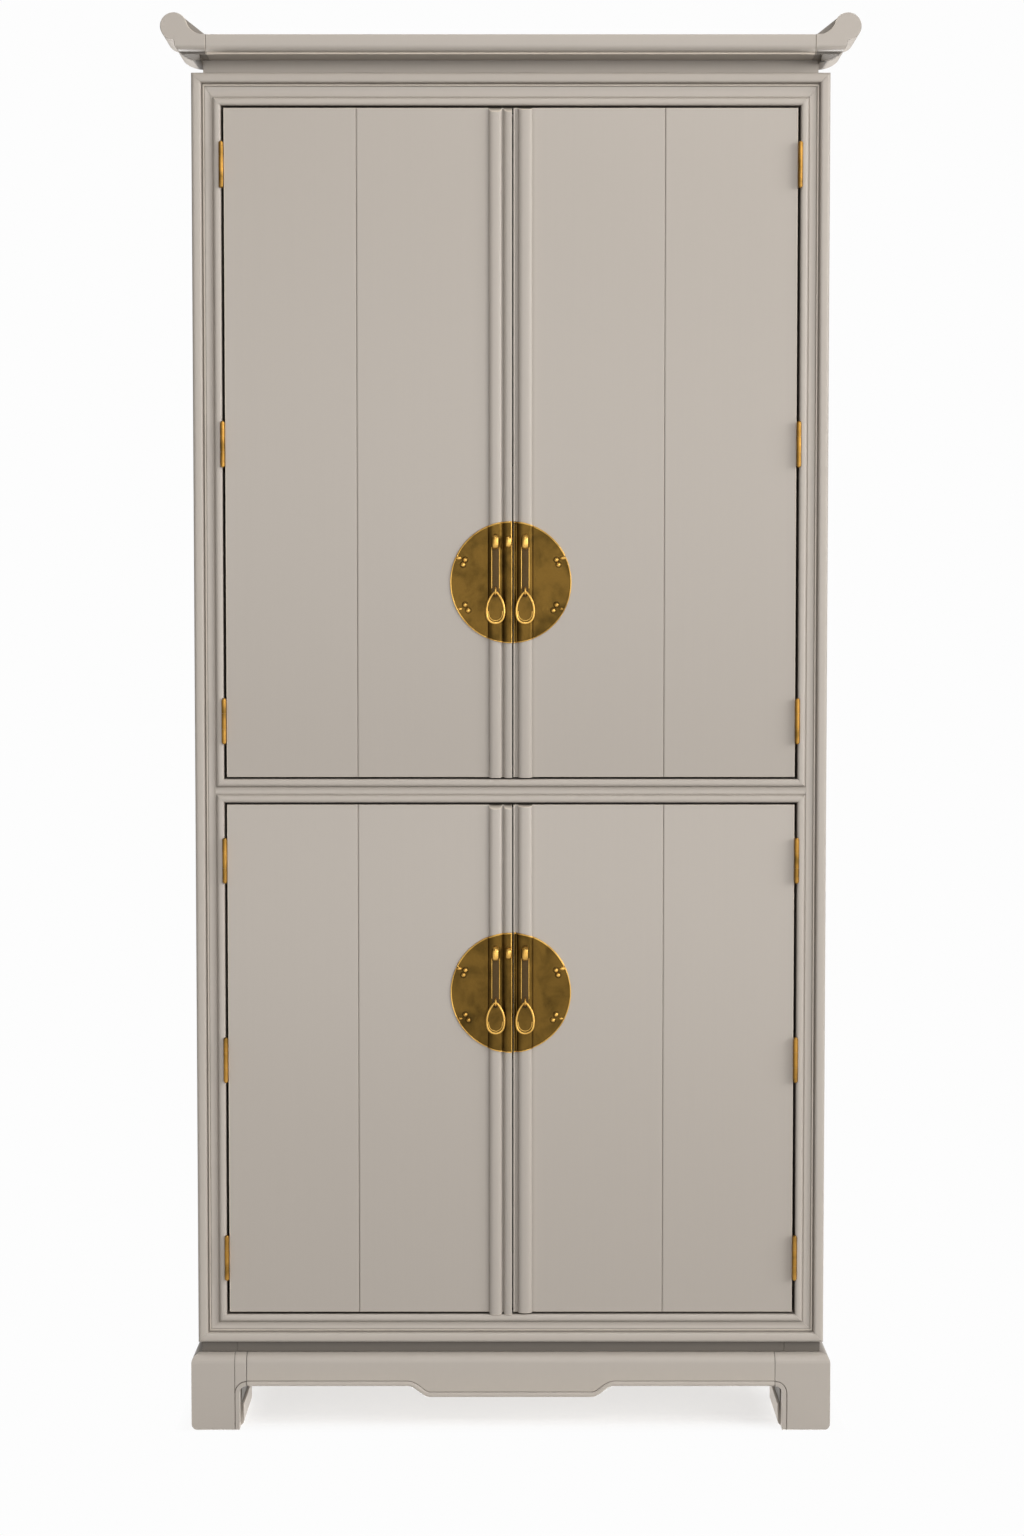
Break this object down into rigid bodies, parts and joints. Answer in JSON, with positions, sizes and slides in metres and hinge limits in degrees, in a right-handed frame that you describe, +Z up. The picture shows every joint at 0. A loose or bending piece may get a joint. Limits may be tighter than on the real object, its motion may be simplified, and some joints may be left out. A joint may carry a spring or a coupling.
{
  "type": "two-tier cabinet",
  "caption": "Tall two-tier lacquered cabinet with paired doors, round brass lock plates with drop pulls, a scroll-ended cornice and a footed base.",
  "frame": {"origin": "on the floor, under the middle of the overall box", "axes": "+Z up, the doors face -Y, +X to the right when looking at the doors"},
  "size_m": [0.9666, 0.54, 1.9889],
  "materials": {
    "frame_lacquer": "satin warm grey lacquer",
    "door_lacquer": "satin warm grey lacquer",
    "base_lacquer": "satin warm grey lacquer",
    "inside_lacquer": "matt warm grey lacquer",
    "plate_brass": "aged, brown in the field",
    "pull_brass": "aged, rubbed bright at the rim",
    "hinge_brass": "aged"
  },
  "bodies": {
    "cabinet": {"side_left": "frame_lacquer", "side_right": "frame_lacquer", "stile_left": "frame_lacquer", "stile_right": "frame_lacquer", "rail_top": "frame_lacquer", "rail_mid": "frame_lacquer", "rail_bottom": "frame_lacquer", "top_board": "frame_lacquer", "cornice_board": "frame_lacquer", "cornice_end_left": "frame_lacquer", "cornice_end_right": "frame_lacquer", "back_panel": "inside_lacquer", "bottom_board": "inside_lacquer", "divider_board": "inside_lacquer", "shelf_upper": "inside_lacquer", "shelf_lower": "inside_lacquer", "base_waist": "base_lacquer", "apron_front": "base_lacquer", "apron_left": "base_lacquer", "apron_right": "base_lacquer", "foot_front_left": "base_lacquer", "foot_front_right": "base_lacquer", "foot_rear_left": "base_lacquer", "foot_rear_right": "base_lacquer", "hinge_upper_left_top_frame": "hinge_brass", "hinge_upper_left_middle_frame": "hinge_brass", "hinge_upper_left_bottom_frame": "hinge_brass", "hinge_upper_right_top_frame": "hinge_brass", "hinge_upper_right_middle_frame": "hinge_brass", "hinge_upper_right_bottom_frame": "hinge_brass", "hinge_lower_left_top_frame": "hinge_brass", "hinge_lower_left_middle_frame": "hinge_brass", "hinge_lower_left_bottom_frame": "hinge_brass", "hinge_lower_right_top_frame": "hinge_brass", "hinge_lower_right_middle_frame": "hinge_brass", "hinge_lower_right_bottom_frame": "hinge_brass"},
    "door_upper_left": {"door_upper_left": "door_lacquer", "lock_plate_upper_left": "plate_brass", "hinge_upper_left_top_door": "hinge_brass", "hinge_upper_left_middle_door": "hinge_brass", "hinge_upper_left_bottom_door": "hinge_brass"},
    "door_upper_right": {"door_upper_right": "door_lacquer", "lock_plate_upper_right": "plate_brass", "hinge_upper_right_top_door": "hinge_brass", "hinge_upper_right_middle_door": "hinge_brass", "hinge_upper_right_bottom_door": "hinge_brass"},
    "door_lower_left": {"door_lower_left": "door_lacquer", "lock_plate_lower_left": "plate_brass", "hinge_lower_left_top_door": "hinge_brass", "hinge_lower_left_middle_door": "hinge_brass", "hinge_lower_left_bottom_door": "hinge_brass"},
    "door_lower_right": {"door_lower_right": "door_lacquer", "lock_plate_lower_right": "plate_brass", "hinge_lower_right_top_door": "hinge_brass", "hinge_lower_right_middle_door": "hinge_brass", "hinge_lower_right_bottom_door": "hinge_brass"},
    "pull_upper_left": {"drop_pull_upper_left": "pull_brass"},
    "pull_upper_right": {"drop_pull_upper_right": "pull_brass"},
    "pull_lower_left": {"drop_pull_lower_left": "pull_brass"},
    "pull_lower_right": {"drop_pull_lower_right": "pull_brass"}
  },
  "joints": [
    {"name": "door_upper_left_swing", "type": "hinge", "parent": "cabinet", "child": "door_upper_left", "pos_m": [-0.4034, -0.2365, 0.9318], "axis": [0, 0, -1], "range_deg": [0, 170]},
    {"name": "door_upper_right_swing", "type": "hinge", "parent": "cabinet", "child": "door_upper_right", "pos_m": [0.4034, -0.2365, 0.9318], "axis": [0, 0, 1], "range_deg": [0, 170]},
    {"name": "door_lower_left_swing", "type": "hinge", "parent": "cabinet", "child": "door_lower_left", "pos_m": [-0.4034, -0.2365, 0.1683], "axis": [0, 0, -1], "range_deg": [0, 170]},
    {"name": "door_lower_right_swing", "type": "hinge", "parent": "cabinet", "child": "door_lower_right", "pos_m": [0.4034, -0.2365, 0.1683], "axis": [0, 0, 1], "range_deg": [0, 170]},
    {"name": "pull_upper_left_swing", "type": "hinge", "parent": "door_upper_left", "child": "pull_upper_left", "pos_m": [-0.0215, -0.241, 1.1933], "axis": [-1, 0, 0], "range_deg": [0, 90]},
    {"name": "pull_upper_right_swing", "type": "hinge", "parent": "door_upper_right", "child": "pull_upper_right", "pos_m": [0.0202, -0.241, 1.1933], "axis": [-1, 0, 0], "range_deg": [0, 90]},
    {"name": "pull_lower_left_swing", "type": "hinge", "parent": "door_lower_left", "child": "pull_lower_left", "pos_m": [-0.0215, -0.241, 0.6139], "axis": [-1, 0, 0], "range_deg": [0, 90]},
    {"name": "pull_lower_right_swing", "type": "hinge", "parent": "door_lower_right", "child": "pull_lower_right", "pos_m": [0.0202, -0.241, 0.6139], "axis": [-1, 0, 0], "range_deg": [0, 90]}
  ]
}
